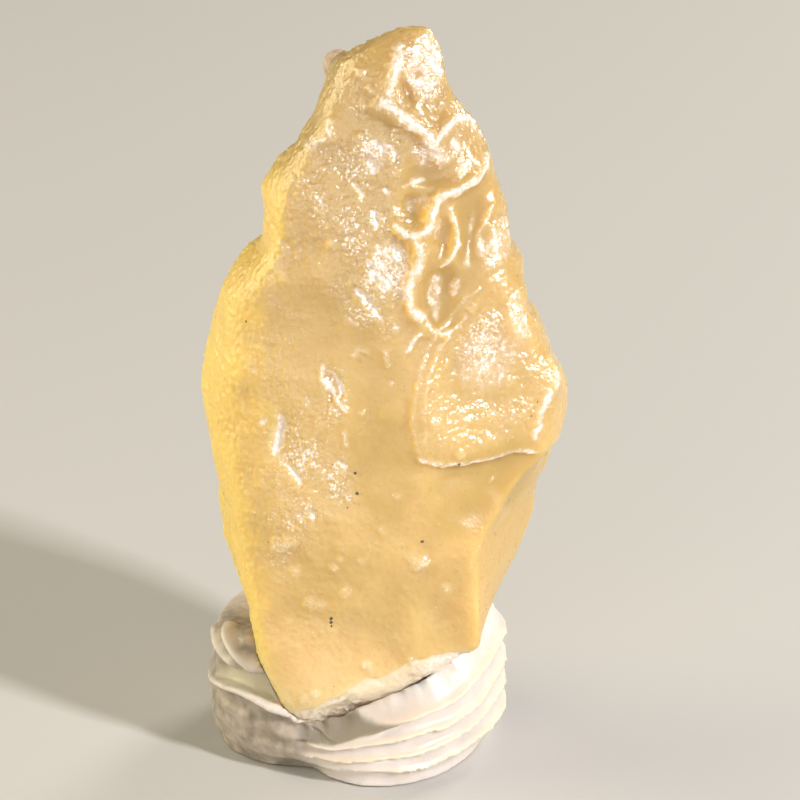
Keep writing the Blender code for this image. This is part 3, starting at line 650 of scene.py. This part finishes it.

# %% [markdown]
# ## The glass finish
# Desert glass is nearly pure silica with fine bubbles, so it is neither clear nor opaque: light
# goes in, scatters and comes out honey yellow. Transmission with an absorbing volume is the exact
# way, but it renders slowly, and every hollow then shows a dark dot of what lies behind. So one
# Principled shader does it with two parts: subsurface scattering for the milky body, and a coat
# for the wet-looking shine. Where sand has frosted the glass, and where highlights and glints are
# painted on in white, the scattering is turned down and the colour up to white, because scattering
# would blur so fine a pattern away.


# %% A small node helper
class Nodes:
    """Adds shader nodes and joins them, to keep each recipe readable."""

    def __init__(self, name):
        self.material = bpy.data.materials.new(name)
        self.material.use_nodes = True
        self.tree = self.material.node_tree
        self.shader = self.tree.nodes["Principled BSDF"]

    def add(self, kind, **settings):
        """Adds a node by the end of its type's name."""
        node = self.tree.nodes.new("ShaderNode" + kind)
        for setting, value in settings.items():
            setattr(node, setting, value)
        return node

    def put(self, socket, value):
        """Links an output to a socket, or sets the socket's value."""
        if isinstance(value, bpy.types.NodeSocket):
            self.tree.links.new(value, socket)
        else:
            socket.default_value = value

    def set(self, name, value):
        """Gives one of the Principled shader's inputs an output or a value."""
        self.put(self.shader.inputs[name], value)

    def where(self):
        """The place on the object, which doesn't depend on the camera."""
        return self.add("TexCoord").outputs["Object"]

    def attribute(self, name):
        """A number that was stored on the mesh's points."""
        return self.add("Attribute", attribute_name=name).outputs["Fac"]

    def noise(self, size, detail=3.0, roughness=0.5):
        """Cloudy noise, with clouds of about this size in mm."""
        node = self.add("TexNoise")
        self.put(node.inputs["Vector"], self.where())
        node.inputs["Scale"].default_value = 1 / (size * MM)
        node.inputs["Detail"].default_value = detail
        node.inputs["Roughness"].default_value = roughness
        return node.outputs["Fac"]

    def clouds(self, size, detail):
        """Noise drawn out into clouds from 0 to 1."""
        return self.spread(self.noise(size, detail), 0.35, 0.65)

    def cells(self, size):
        """The distance to the middle of the nearest cell, with cells of about this size in mm."""
        node = self.add("TexVoronoi", feature="F1")
        self.put(node.inputs["Vector"], self.where())
        node.inputs["Scale"].default_value = 1 / (size * MM)
        return node.outputs["Distance"]

    def math(self, operation, a, b=0.0, clamp=False):
        node = self.add("Math", operation=operation, use_clamp=clamp)
        self.put(node.inputs[0], a)
        self.put(node.inputs[1], b)
        return node.outputs[0]

    def spread(self, value, low, high, to_low=0.0, to_high=1.0):
        """Stretches the range from low to high onto another range, and stops at its ends."""
        node = self.add("MapRange")
        self.put(node.inputs["Value"], value)
        sockets = ("From Min", "From Max", "To Min", "To Max")
        for socket, number in zip(sockets, (low, high, to_low, to_high)):
            node.inputs[socket].default_value = number
        return node.outputs["Result"]

    def blend(self, share, first, second):
        """The first colour where the share is 0 and the second where it is 1."""
        node = self.add("Mix", data_type="RGBA")
        self.put(node.inputs[0], share)
        self.put(node.inputs[6], first)
        self.put(node.inputs[7], second)
        return node.outputs[2]

    def tint(self, zone, most, under, over):
        """Covers a colour with another by up to `most` where a zone is: a stored one or an output."""
        share = self.attribute(zone) if isinstance(zone, str) else zone
        return self.blend(self.math("MULTIPLY", share, most), under, over)

    def bump(self, height, distance, strength, normal=None):
        """Relief too fine for the mesh, at most this many mm deep."""
        node = self.add("Bump")
        node.inputs["Strength"].default_value = strength
        node.inputs["Distance"].default_value = distance * MM
        self.put(node.inputs["Height"], height)
        if normal is not None:
            self.put(node.inputs["Normal"], normal)
        return node.outputs["Normal"]


# %% Honey glass: colours
def honey_body(n):
    """Cloudy honey yellow, tinted zone by zone."""
    body = n.blend(n.clouds(5.0, 4), (0.635, 0.435, 0.14, 1), (0.73, 0.505, 0.18, 1))
    body = n.tint("smooth", 0.6, body, (0.50, 0.34, 0.105, 1))
    # Darker towards the top
    body = n.tint("darker_upwards", 0.75, body, (0.50, 0.34, 0.125, 1))
    # Painted glow: brighter yellow on the left side, standing in for light coming through
    body = n.tint("painted_glow", 0.85, body, (0.95, 0.69, 0.18, 1))
    # Painted glow: lighter at the foot, standing in for light coming through
    body = n.tint("foot", 0.75, body, (1.0, 0.71, 0.34, 1))
    body = n.tint("flank", 0.6, body, (0.66, 0.44, 0.15, 1))
    # The chip is painted lighter peach: partly the fresh break's own colour, partly painted bounce light
    # from the putty below
    return n.tint("chip", 0.8, body, (1.0, 0.80, 0.58, 1))


def frost_and_painted_glints(n):
    """How white each place is painted: frost with painted glints on rough places, and ragged ribbons of
    frost and painted highlight on the crests.
    """
    painted_glints_and_frost = n.math("ADD", n.noise(0.26, 3, 0.6), n.math("MULTIPLY", n.attribute("rough"), 0.25))
    ragged_noise = n.spread(n.noise(0.5, 3, 0.65), 0.3, 0.7, -0.70, 0.50)
    ragged = n.math("ADD", n.attribute("frost_and_highlight"), ragged_noise)
    white = n.math("MAXIMUM", n.spread(painted_glints_and_frost, 0.70, 0.80), n.spread(ragged, 0.40, 1.0, 0.0, 0.85))
    # A little white on the chip, partly painted bounce light
    return n.math("MAXIMUM", white, n.math("MULTIPLY", n.attribute("chip"), 0.1), clamp=True)


def speckling(n):
    """1 in a dark speck, with an uneven border."""
    wobble = n.spread(n.noise(0.2, 2), 0.0, 1.0, -0.35, 0.35)
    return n.spread(n.math("ADD", n.attribute("speck"), wobble), 0.85, 1.15, 1.0, 0.0)


# %% Honey glass: fine relief
def glass_relief(n):
    """Sand-blasted grit, orange peel where it isn't smooth, and grain where it is rough."""
    grit = n.bump(n.noise(0.18, 3, 0.6), 0.05, 0.5)
    peel = n.math("MULTIPLY", n.cells(0.55), n.math("SUBTRACT", 1.0, n.attribute("smooth")))
    peeled = n.bump(peel, 0.06, 0.6, normal=grit)
    grain = n.math("MULTIPLY", n.cells(0.28), n.math("ADD", n.attribute("rough"), 0.04))
    return n.bump(grain, 0.14, 0.8, normal=peeled)


# %% Honey glass: the whole material
def honey_glass():
    n = Nodes("honey_glass")
    white, dark = frost_and_painted_glints(n), speckling(n)
    # A cream halo and white on crests and rough places: partly frost, partly painted highlights and glints
    body = n.tint("frost_and_highlight", 0.3, honey_body(n), (0.95, 0.80, 0.66, 1))
    body = n.tint(white, 0.9, body, (1.0, 0.91, 0.88, 1))
    n.set("Base Color", n.blend(dark, body, (0.035, 0.022, 0.012, 1)))

    # Light goes deep into the body, less so into the chip, and hardly into frost, painted highlights and
    # specks
    milky = n.math("SUBTRACT", 1.0, n.math("MAXIMUM", dark, n.math("MULTIPLY", white, 0.8)))
    milky = n.math("SUBTRACT", milky, n.math("MULTIPLY", n.attribute("chip"), 0.25), clamp=True)
    n.set("Subsurface Weight", n.math("ADD", 0.1, n.math("MULTIPLY", milky, 0.9)))
    n.set("Subsurface Radius", (1.0, 0.80, 0.52))
    n.set("Subsurface Scale", 4.0 * MM)

    # The coat shines most on rough places and on frost and painted highlights, and least on the calm ones
    calm = n.math("MAXIMUM", n.attribute("smooth"), n.attribute("painted_glow"))
    calm = n.math("MAXIMUM", calm, n.attribute("flank"))
    lively = n.math("MAXIMUM", n.attribute("rough"), n.attribute("frost_and_highlight"))
    lively = n.math("ADD", 0.55, lively, clamp=True)
    n.set("Coat Weight", n.math("MULTIPLY", lively, n.spread(calm, 0.0, 1.0, 1.0, 0.25)))
    n.set("Coat Roughness", 0.28)
    n.set("Coat IOR", 2.0)

    n.set("Roughness", n.spread(n.noise(0.8, 3), 0.3, 0.7, 0.26, 0.42))
    n.set("IOR", 1.46)
    n.set("Specular IOR Level", 0.6)
    relief = glass_relief(n)
    n.set("Normal", relief)
    n.set("Coat Normal", relief)
    print("honey_glass has", len(n.tree.nodes), "nodes")
    return n.material


def dress(piece, material):
    piece.data.materials.clear()
    piece.data.materials.append(material)
    piece.data.shade_smooth()


dress(glass, honey_glass())
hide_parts("desert_glass")
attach(glass, "root")

# %% [markdown]
# ## The crumb of crust
# A greyish crumb of desert crust has grown on behind the summit. It has a colour and a grain of its
# own, so it is its own piece: an ico sphere, stretched and turned, then flattened by a few broken
# faces. The CAD shows it as a bump, which is smoothed away underneath it first.

# %% Smooth the bump away
CAD_CRUMB = (-1.2, 1.9, 58.4)


def smooth_spot(piece, name, weights, iterations):
    """The smooth brush: a Smooth modifier held to a vertex group."""
    group = piece.vertex_groups.new(name=name)
    for row in np.flatnonzero(weights > 0.02):
        group.add([int(row)], float(weights[row]), "REPLACE")
    apply_modifier(piece, "SMOOTH", factor=0.5, iterations=iterations, vertex_group=name)
    piece.vertex_groups.remove(piece.vertex_groups[name])


away = np.linalg.norm(points_of(glass) - np.array(CAD_CRUMB), axis=1)
smooth_spot(glass, "under_the_crumb", np.exp(-((away / 2.3) ** 6)), 60)
print("smoothed", int((away < 2.3).sum()), "points")

# %% The crumb
CRUMB_MIDDLE = (-1.62 * MM, 1.3 * MM, 58.15 * MM)
# Its broken faces: a place on each, in mm, and the way it looks
CRUMB_BREAKS = [
    ((-2.35, 0.9, 58.4), (-0.9, -0.42, 0.1)), ((-1.9, 0.5, 58.9), (-0.3, -0.9, 0.3)),
    ((-1.9, 1.3, 59.45), (-0.25, 0.1, 1.0)), ((-2.3, 1.6, 57.4), (-0.8, 0.3, -0.5)),
]

bpy.ops.object.select_all(action="DESELECT")
bpy.ops.mesh.primitive_ico_sphere_add(subdivisions=5, radius=1.0 * MM, location=CRUMB_MIDDLE)
crumb = bpy.context.object
crumb.name = "summit_crumb"
switch_to("EDIT")
bpy.ops.transform.resize(value=(1.0, 1.15, 1.75))
bpy.ops.transform.rotate(value=math.radians(-14), orient_axis="Y", center_override=CRUMB_MIDDLE)
switch_to("OBJECT")
bpy.ops.object.transform_apply(location=True, rotation=True, scale=True)
points = points_of(crumb)
for place, direction in CRUMB_BREAKS:
    outward = np.array(Vector(direction).normalized())
    outside = (points - np.array(place)) @ outward
    points = points - beyond(outside, 0.08)[:, None] * outward
set_points(crumb, points)
crust = 0.10 * lumps(points, 0.7, 83.0) + 0.05 * lumps(points, 0.3, 89.0)
set_points(crumb, points + normals_of(crumb) * crust[:, None])
print("crumb:", len(crumb.data.polygons), "faces")


# %% Crust finish
def pale_crust():
    n = Nodes("pale_crust")
    n.set("Base Color", n.blend(n.clouds(0.7, 4), (0.50, 0.36, 0.25, 1), (0.66, 0.50, 0.38, 1)))
    n.set("Roughness", n.spread(n.noise(0.4, 3), 0.3, 0.7, 0.45, 0.7))
    n.set("Subsurface Weight", 0.6)
    n.set("Subsurface Radius", (1.0, 0.7, 0.5))
    n.set("Subsurface Scale", 0.8 * MM)
    n.set("Normal", n.bump(n.noise(0.25, 4, 0.6), 0.08, 0.8))
    return n.material


dress(crumb, pale_crust())
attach(crumb, "root")

# %% [markdown]
# ## The putty wad
# Display putty is a stiff white wax. Pressed round the foot with the thumbs it folds over itself in
# flat laps, which fan out from a notch at the front left. A cloth or fluid simulation could fold
# it, but the laps of this wad are known from the photograph, so they are carved: each lap's lower
# edge stands proud, and the wall just under it is drawn in.

# %% Copy and refine the putty
putty = fine_block("display_putty", "putty_wad", grid=0.20, iterations=3)

# %% Lines on the putty
# Each lap's edge and the rim, as direction in degrees anticlockwise from +X and height in mm
LAPS = [
    [(0, 2.6), (40, 2.1), (75, 1.3), (110, 2.3), (145, 1.5), (180, 1.6), (215, 1.4), (247, 1.4),
     (271, 1.5), (305, 1.5), (330, 2.4)],
    [(0, 4.7), (40, 3.5), (75, 4.1), (110, 3.7), (145, 4.3), (180, 3.0), (215, 2.7), (240, 2.4),
     (259, 2.3), (275, 2.6), (296, 2.9), (311, 3.3), (326, 3.9), (338, 4.6)],
    [(0, 7.0), (40, 6.6), (75, 5.2), (110, 6.5), (145, 5.3), (180, 4.2), (215, 4.2), (240, 3.7),
     (251, 3.5), (263, 3.9), (283, 4.3), (301, 4.7), (313, 4.9), (326, 5.5), (338, 6.6)],
    [(0, 9.2), (40, 8.6), (75, 7.4), (110, 8.3), (145, 7.5), (160, 6.2), (183, 5.4), (200, 6.2),
     (215, 6.7), (228, 6.3), (240, 5.2), (251, 4.6), (263, 4.8), (271, 5.3), (283, 6.0), (294, 6.5),
     (305, 7.0), (316, 7.4), (326, 8.2), (338, 9.0)],
]
PUTTY_RIM = [
    (0, 11.2), (45, 10.7), (90, 10.2), (135, 10.4), (180, 10.3), (207, 10.7), (222, 10.0), (233, 8.2),
    (243, 6.3), (251, 5.4), (260, 5.3), (269, 5.9), (285, 7.3), (295, 8.1), (305, 8.6), (315, 9.2),
    (330, 10.3), (345, 11.1),
]
# The pocket above the lip on the left: its upper edge, and its depth in mm
POCKET_TOP = [(185, 6.6), (200, 8.1), (215, 8.6), (228, 8.1), (238, 6.9), (248, 5.4)]
POCKET_DEPTH = 0.75
# A shaded hollow under the foot of the glass: direction, lower and upper edge
WEDGE = [(243, 3.1, 5.0), (259, 4.1, 5.8), (271, 5.2, 6.4), (288, 5.9, 6.6), (298, 6.7, 6.7)]
WEDGE_DEPTH = 0.35
# Diagonal ridges on the left lobe: half width, how far they stand out, route
LOBE_RIDGES = [
    (0.40, 0.75, [(196, 10.8), (208, 9.8), (220, 8.9), (229, 8.3)]),
    (0.32, 0.60, [(208, 11.2), (218, 10.4), (227, 9.5), (233, 8.4)]),
    (0.36, 0.60, [(186, 9.8), (197, 9.0), (207, 8.7)]),
]
# Where the left lobe starts and ends, and its distance from the middle
LOBE_START = 172
LOBE_END = 252
LOBE_RADIUS = 12


# %% Helpers for lines round the wad
def turned(points):
    """The direction of each point from the middle, in degrees anticlockwise from +X."""
    return np.mod(np.degrees(np.arctan2(points[:, 1], points[:, 0])), 360)


def between(value, low, high, rise, fall):
    """1 between two limits, with a soft rise after the first and a soft fall before the second."""
    return smooth_step((value - low) / rise) * smooth_step((high - value) / fall)


def smooth_curve(table, degrees):
    """A smooth closed curve through (direction, value) pairs."""
    at, values = np.array(table, float).T
    at = np.concatenate([at - 360, at, at + 360])
    values = np.tile(values, 3)
    slopes = np.gradient(values, at)
    cell = np.clip(np.searchsorted(at, degrees) - 1, 0, len(at) - 2)
    width = at[cell + 1] - at[cell]
    t = (degrees - at[cell]) / width
    return (
        (2 * t**3 - 3 * t**2 + 1) * values[cell]
        + (t**3 - 2 * t**2 + t) * slopes[cell] * width
        + (3 * t**2 - 2 * t**3) * values[cell + 1]
        + (t**3 - t**2) * slopes[cell + 1] * width
    )


# %% Smooth the left lobe
points = points_of(putty)
x, y, z = points.T
left_lobe = between(turned(points), LOBE_START, LOBE_END, 16, 10)
left_lobe *= smooth_step((np.hypot(x, y) - 8) / 1.5) * smooth_step((z - 0.3) / 0.6)
smooth_spot(putty, "left_lobe", left_lobe, 25)
print("left lobe:", int((left_lobe > 0.5).sum()), "points")

# %% Find the outer wall
points = points_of(putty)
normals = normals_of(putty)
x, y, z = points.T
degrees = turned(points)
radius = np.hypot(x, y)
outward = np.stack([x, y, 0 * x], axis=1) / np.maximum(radius, 0.1)[:, None]
looks_out = (normals * outward).sum(axis=1)
outer_wall = smooth_step((looks_out + 0.1) / 0.5) * smooth_step((radius - 7.5) / 1.5)
print("outer wall:", int((outer_wall > 0.5).sum()), "points")

# %% The laps
# Between two edges the wall is drawn in below the upper edge and stands proud above the lower one
height = z + 0.12 * lumps(points, 3.0, 91.0)
edges = [0 * degrees - 0.5]
edges += [smooth_curve(lap_edge, degrees) for lap_edge in LAPS]
edges += [smooth_curve(PUTTY_RIM, degrees) + 0.6]
lap = np.zeros(len(x))
for low, high in zip(edges, edges[1:]):
    room = high - low
    t = (height - low) / np.maximum(room, 0.2)
    step = 0.24 * np.exp(-t * room / 0.5) - 0.55 * np.exp(-(1 - t) * room / 0.42)
    lap = np.where((t >= 0) & (t < 1), step * np.clip(room / 1.2, 0.25, 1.0), lap)
print("laps from", round(float(lap.min()), 2), "to", round(float(lap.max()), 2), "mm")

# %% The left lobe: a lip, a pocket above it, and ridges
ragged_end = LOBE_END + 5 * lumps(points, 1.3, 107.0)
on_left = between(degrees, LOBE_START, ragged_end, 16, 14)
lip = edges[4] + 0.10
lap *= 1 - on_left
lap += on_left * 0.35 * np.exp(-(((height - lip + 0.25) / 0.35) ** 2))
pocket_top = np.interp(degrees, *np.array(POCKET_TOP).T)
in_pocket = between(height, lip, pocket_top, 0.25, 0.35) * between(degrees, 190, 250, 12, 8)
ridge = np.zeros(len(x))
for half_width, rise, route in LOBE_RIDGES:
    flat_route = [(math.radians(direction) * LOBE_RADIUS, up) for direction, up in route]
    away = distance_to(np.radians(degrees) * LOBE_RADIUS, z, flat_route) / half_width
    ridge = np.maximum(ridge, rise * np.exp(-(away**2)))
print("pocket:", int((in_pocket > 0.5).sum()), "points, ridges:", int((ridge > 0.3).sum()), "points")

# %% The wedge under the foot, and the back
direction, wedge_low, wedge_high = np.array(WEDGE).T
wedge_low = np.interp(degrees, direction, wedge_low)
wedge_high = np.interp(degrees, direction, wedge_high)
wedge = between(z, wedge_low, wedge_high, 0.3, 0.3) * between(degrees, 240, 297, 6, 5)
back = smooth_step((y + 3) / 6)
lap *= 1 - back * (0.5 + 0.5 * lumps(points, 5.0, 103.0))
print("wedge:", int((wedge > 0.5).sum()), "points")

# %% Carve the wad
wall = lap - POCKET_DEPTH * in_pocket + ridge * (1 - in_pocket) - WEDGE_DEPTH * wedge
wall += 0.04 * lumps(points, 1.8, 95.0)
base = smooth_step((z - 0.1) / 0.5)
points = points + normals * (wall * outer_wall * base)[:, None]
thumbed = 0.12 * lumps(points, 2.0, 99.0) + 0.05 * lumps(points, 0.7, 101.0)
points = points + normals * ((1 - outer_wall) * base * thumbed)[:, None]
# In front the top lap stands lower, so that the chip shows above it
dip = between(degrees, 246, 335, 12, 25)
dip *= smooth_step((points[:, 2] - smooth_curve(PUTTY_RIM, degrees) + 2.8) / 2.2)
points[:, 2] -= (2.1 - 1.5 * outer_wall) * dip
print("wall moved from", round(float(wall.min()), 2), "to", round(float(wall.max()), 2), "mm")

# %% [markdown]
# ## Putty against glass
# Soft putty takes the shape of what is pushed into it, and no gap shows. A Shrinkwrap modifier
# could pull it there, but it moves every point of a group fully. Here the nearest place on the
# glass is looked up for each point, points inside the glass come out to it, and points close to it
# are drawn on the less the farther away they are.

# %% Press the putty against the glass
GAP = 0.03

skin_of_glass = BVHTree.FromPolygons(
    [Vector(p) for p in points_of(glass)], [tuple(face.vertices) for face in glass.data.polygons]
)
touching = 0
for row, p in enumerate(points):
    reach = 1.3 + 1.0 * dip[row]
    found, direction, _, distance = skin_of_glass.find_nearest(Vector(p), reach)
    if found is None:
        continue
    outside_glass = (Vector(p) - found).dot(direction) > 0
    share = 1.0 if not outside_glass else float(smooth_step(np.array((reach - distance) / 0.75)))
    target = np.array(found + direction * GAP)
    points[row] = p + (target - p) * share
    touching += share > 0.98
set_points(putty, points)
apply_modifier(putty, "SMOOTH", factor=0.5, iterations=3)
smooth_spot(putty, "pinched", dip, 10)
print("putty points on the glass:", touching)

# %% Keep the putty in its box and store its zones
set_points(putty, kept_in(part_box("display_putty"), points_of(putty)))
# Painted shade along the lap edges, and painted highlight on the lip and ridges of the left lobe
lap_shade_line = np.clip(lap / 0.20, 0, 1) * (1 - on_left)
lip_highlight = on_left * np.exp(-(((height - lip + 0.1) / 0.22) ** 2))
ridge_highlight = 0.8 * np.clip(ridge / 0.6, 0, 1)
store(putty, "lap_edge", np.maximum.reduce([lap_shade_line, lip_highlight, ridge_highlight]) * outer_wall)
store(putty, "shaded_lobe", between(degrees, 150, 258, 40, 22))
store(putty, "wedge", 0.9 * wedge * outer_wall)
store(putty, "pocket", in_pocket * outer_wall)
print("stored", [a.name for a in putty.data.attributes if not a.name.startswith(".")])

# %% [markdown]
# ## The putty finish
# Where the wad is thick it scatters like candle wax and looks white. The lobe on the left is
# painted grey as painted shade, and it is glossier, with less scattering. Two materials would meet
# at a hard line, so one material blends two colours, glosses and depths of scattering with a stored zone.


# %% Waxy putty
def waxy_putty():
    n = Nodes("waxy_putty")
    lobe, shade, edge = n.attribute("shaded_lobe"), n.attribute("wedge"), n.attribute("lap_edge")
    white = n.blend(n.clouds(3.0, 3), (0.68, 0.615, 0.56, 1), (0.76, 0.70, 0.65, 1))
    # Painted shade: peach lines along the lap edges
    white = n.tint(edge, 0.9, white, (0.84, 0.66, 0.46, 1))
    # Painted shade: the left lobe is painted grey, with a paler olive in the pocket
    grey = n.blend(n.clouds(1.4, 3), (0.28, 0.24, 0.19, 1), (0.50, 0.43, 0.36, 1))
    grey = n.blend(n.attribute("pocket"), grey, (0.56, 0.51, 0.38, 1))
    # Painted highlight on the lip and the ridges of the left lobe
    grey = n.tint(edge, 0.7, grey, (0.88, 0.82, 0.76, 1))
    # Painted shade over the left lobe, and painted shadow in the wedge under the glass
    n.set("Base Color", n.blend(shade, n.blend(lobe, white, grey), (0.25, 0.22, 0.165, 1)))
    gloss = n.spread(n.noise(1.5, 2), 0.3, 0.7, 0.30, 0.46)
    n.set("Roughness", n.math("SUBTRACT", gloss, n.math("MULTIPLY", lobe, 0.20)))
    n.set("IOR", 1.45)
    # Less scattering where the shade and shadow are painted
    painted_shade_zones = n.math("MAXIMUM", lobe, shade)
    n.set("Subsurface Weight", n.spread(painted_shade_zones, 0.0, 1.0, 1.0, 0.45))
    n.set("Subsurface Radius", (1.0, 0.80, 0.68))
    n.set("Subsurface Scale", 1.0 * MM)
    fine = n.bump(n.noise(0.35, 3, 0.6), 0.03, 0.5)
    n.set("Normal", n.bump(n.noise(1.2, 2), 0.12, 0.5, normal=fine))
    return n.material


dress(putty, waxy_putty())
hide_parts("display_putty")
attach(putty, "root")

# %% [markdown]
# ## Floor and light
# A plain pale floor and soft studio light. The key light stands to the right, in front and above,
# because the photograph's highlights all sit on faces that look that way.

# %% Floor
bpy.ops.object.select_all(action="DESELECT")
bpy.ops.mesh.primitive_plane_add(size=6.0, location=(0, 0, 0))
floor = bpy.context.object
floor.name = "floor"
floor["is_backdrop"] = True
paper = Nodes("pale_paper")
paper.set("Base Color", (0.55, 0.545, 0.535, 1))
paper.set("Roughness", 0.7)
floor.data.materials.append(paper.material)


# %% Lights
def softbox(name, azimuth, elevation, distance, size, watts, colour):
    """A square light that looks at the stone. Azimuth 0 is in front and 90 is to the right."""
    a, e = math.radians(azimuth), math.radians(elevation)
    aim = Vector((0.002, 0, 0.03))
    out = Vector((math.sin(a) * math.cos(e), -math.cos(a) * math.cos(e), math.sin(e)))
    bpy.ops.object.light_add(type="AREA", location=aim + out * distance)
    light = bpy.context.object
    light.name = name
    light.rotation_euler = out.to_track_quat("Z", "Y").to_euler()
    light.data.size = size
    light.data.energy = watts
    light.data.color = colour
    print(name, "at", [round(v, 2) for v in light.location])


softbox("key_light", 52, 31, 0.6, 0.06, 3.7, (1.0, 0.96, 0.95))
softbox("fill_light", -40, 30, 0.7, 0.5, 0.2, (1.0, 0.95, 0.90))
softbox("low_light", -12, 6, 0.45, 0.5, 1.15, (1.0, 0.92, 0.82))
softbox("back_right_light", 140, 30, 0.6, 0.2, 1.7, (1.0, 0.93, 0.82))
softbox("back_left_light", -100, 20, 0.6, 0.6, 3.5, (1.0, 0.90, 0.60))

# %% World and colours
world = bpy.data.worlds.new("studio")
bpy.context.scene.world = world
world.use_nodes = True
world.node_tree.nodes["Background"].inputs["Color"].default_value = (0.80, 0.78, 0.75, 1)
world.node_tree.nodes["Background"].inputs["Strength"].default_value = 0.18
bpy.context.scene.view_settings.view_transform = "Standard"

# %% [markdown]
# ## Sizes, and the end
# The dressed model has to stay inside the CAD's box, so its box is measured at the end.

# %% Measure the dressed model's box
low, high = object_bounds()
